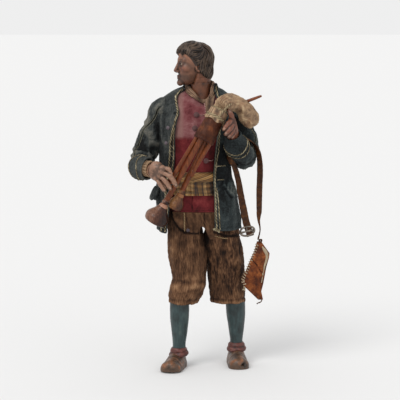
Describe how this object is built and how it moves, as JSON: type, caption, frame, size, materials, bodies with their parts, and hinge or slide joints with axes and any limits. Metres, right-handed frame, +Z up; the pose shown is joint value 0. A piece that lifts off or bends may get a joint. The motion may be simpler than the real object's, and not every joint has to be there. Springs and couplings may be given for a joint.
{
  "type": "presepe figure",
  "caption": "Standing dressed crib figure of a shepherd piper playing a small zampogna, in short coat, sash and breeches, with a buckled strap and a leather pouch.",
  "frame": {"origin": "on the ground under the middle of the figure's outer box", "axes": "+Z up through the figure, -Y where it faces, -X towards its right hand"},
  "size_m": [0.1554, 0.102, 0.3668],
  "materials": {
    "painted_terracotta": "painted flesh, worn",
    "linen": "soiled linen",
    "red_silk": "faded red silk",
    "coat_wool": "dark grey-green wool with tan braid",
    "sash_silk": "striped silk",
    "breeches_crepe": "brown crepe",
    "painted_wood": "painted, glossy stockings and brown shoes",
    "turned_wood": "waxed",
    "bag_skin": "mottled kid skin",
    "strap_leather": "worn",
    "pouch_leather": "worn orange-brown",
    "buckle_metal": "dull grey",
    "red_buttons": "cloth-covered",
    "coat_buttons": "thread-covered",
    "cord": "waxed thread"
  },
  "bodies": {
    "root": {"head": "painted_terracotta", "shirt_collar": "linen", "waistcoat": "red_silk", "coat": "coat_wool", "sash": "sash_silk", "breeches": "breeches_crepe", "right_leg": "painted_wood", "left_leg": "painted_wood", "right_hand": "painted_terracotta", "left_hand": "painted_terracotta", "right_shirt_cuff": "linen", "left_shirt_cuff": "linen", "stock": "turned_wood", "long_chanter": "turned_wood", "short_chanter": "turned_wood", "long_drone": "turned_wood", "short_drone": "turned_wood", "bag_binding": "cord", "bag": "bag_skin", "blowpipe": "turned_wood", "strap": "strap_leather", "buckle": "buckle_metal", "pouch": "pouch_leather", "waistcoat_button_1": "red_buttons", "waistcoat_button_2": "red_buttons", "waistcoat_button_3": "red_buttons", "coat_button_1": "coat_buttons", "coat_button_2": "coat_buttons"}
  },
  "joints": []
}
